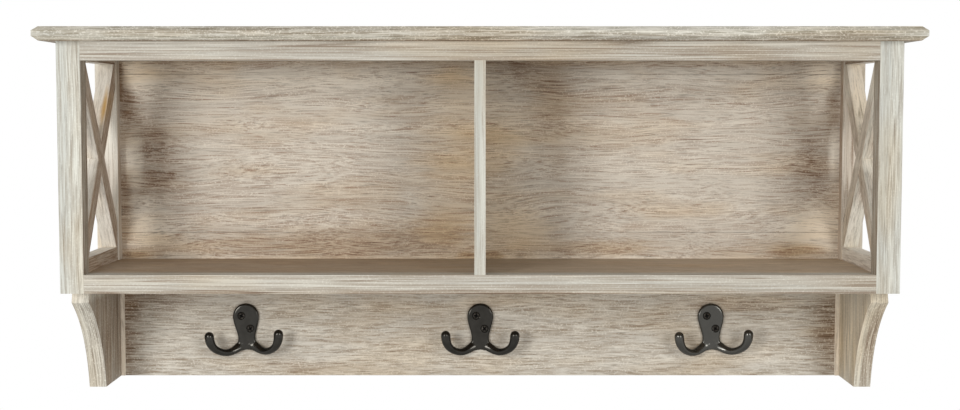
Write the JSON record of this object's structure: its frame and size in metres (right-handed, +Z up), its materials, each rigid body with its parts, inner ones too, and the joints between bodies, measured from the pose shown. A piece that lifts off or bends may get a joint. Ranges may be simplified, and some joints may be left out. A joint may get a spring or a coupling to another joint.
{
  "type": "wall rack",
  "caption": "Wall rack with open cubbies under a flat top, crossed braces in its side frames, and double coat hooks on a board between curved brackets.",
  "frame": {"origin": "on the wall, midway between the round openings of the two keyhole hanger plates", "axes": "+X to the viewer's right along the wall, +Y into the wall, +Z up"},
  "size_m": [0.814, 0.177, 0.3495],
  "materials": {
    "whitewashed_wood": "whitewashed and rubbed through at the edges, matt",
    "aged_wood": "thin grey wash over brown stain, matt",
    "beech_dowel": "bare, fluted",
    "dark_bronze": "dark bronze, satin",
    "zinc_steel": "zinc-plated, satin"
  },
  "bodies": {
    "root": {"top_board": "whitewashed_wood", "front_post_left": "whitewashed_wood", "front_post_right": "whitewashed_wood", "back_post_left": "whitewashed_wood", "back_post_right": "whitewashed_wood", "front_top_rail": "whitewashed_wood", "front_bottom_rail": "whitewashed_wood", "side_top_rail_left": "aged_wood", "side_top_rail_right": "aged_wood", "side_bottom_rail_left": "aged_wood", "side_bottom_rail_right": "aged_wood", "brace_falling_left": "aged_wood", "brace_rising_left": "aged_wood", "brace_falling_right": "aged_wood", "brace_rising_right": "aged_wood", "divider": "whitewashed_wood", "shelf_board": "aged_wood", "back_panel": "aged_wood", "hook_board": "whitewashed_wood", "bracket_left": "whitewashed_wood", "bracket_right": "whitewashed_wood", "corner_bead_left": "whitewashed_wood", "corner_bead_right": "whitewashed_wood", "coat_hook_left": "dark_bronze", "coat_hook_middle": "dark_bronze", "coat_hook_right": "dark_bronze", "coat_hook_screws": "dark_bronze", "hanger_plate_left": "zinc_steel", "hanger_plate_right": "zinc_steel", "hanger_screws": "zinc_steel", "front_frame_dowels": "beech_dowel", "side_frame_dowels": "beech_dowel", "shelf_dowels": "beech_dowel", "bracket_dowels": "beech_dowel", "hook_board_dowels": "beech_dowel", "top_board_screws": "zinc_steel", "divider_screws": "zinc_steel", "panel_pins": "zinc_steel"}
  },
  "joints": []
}
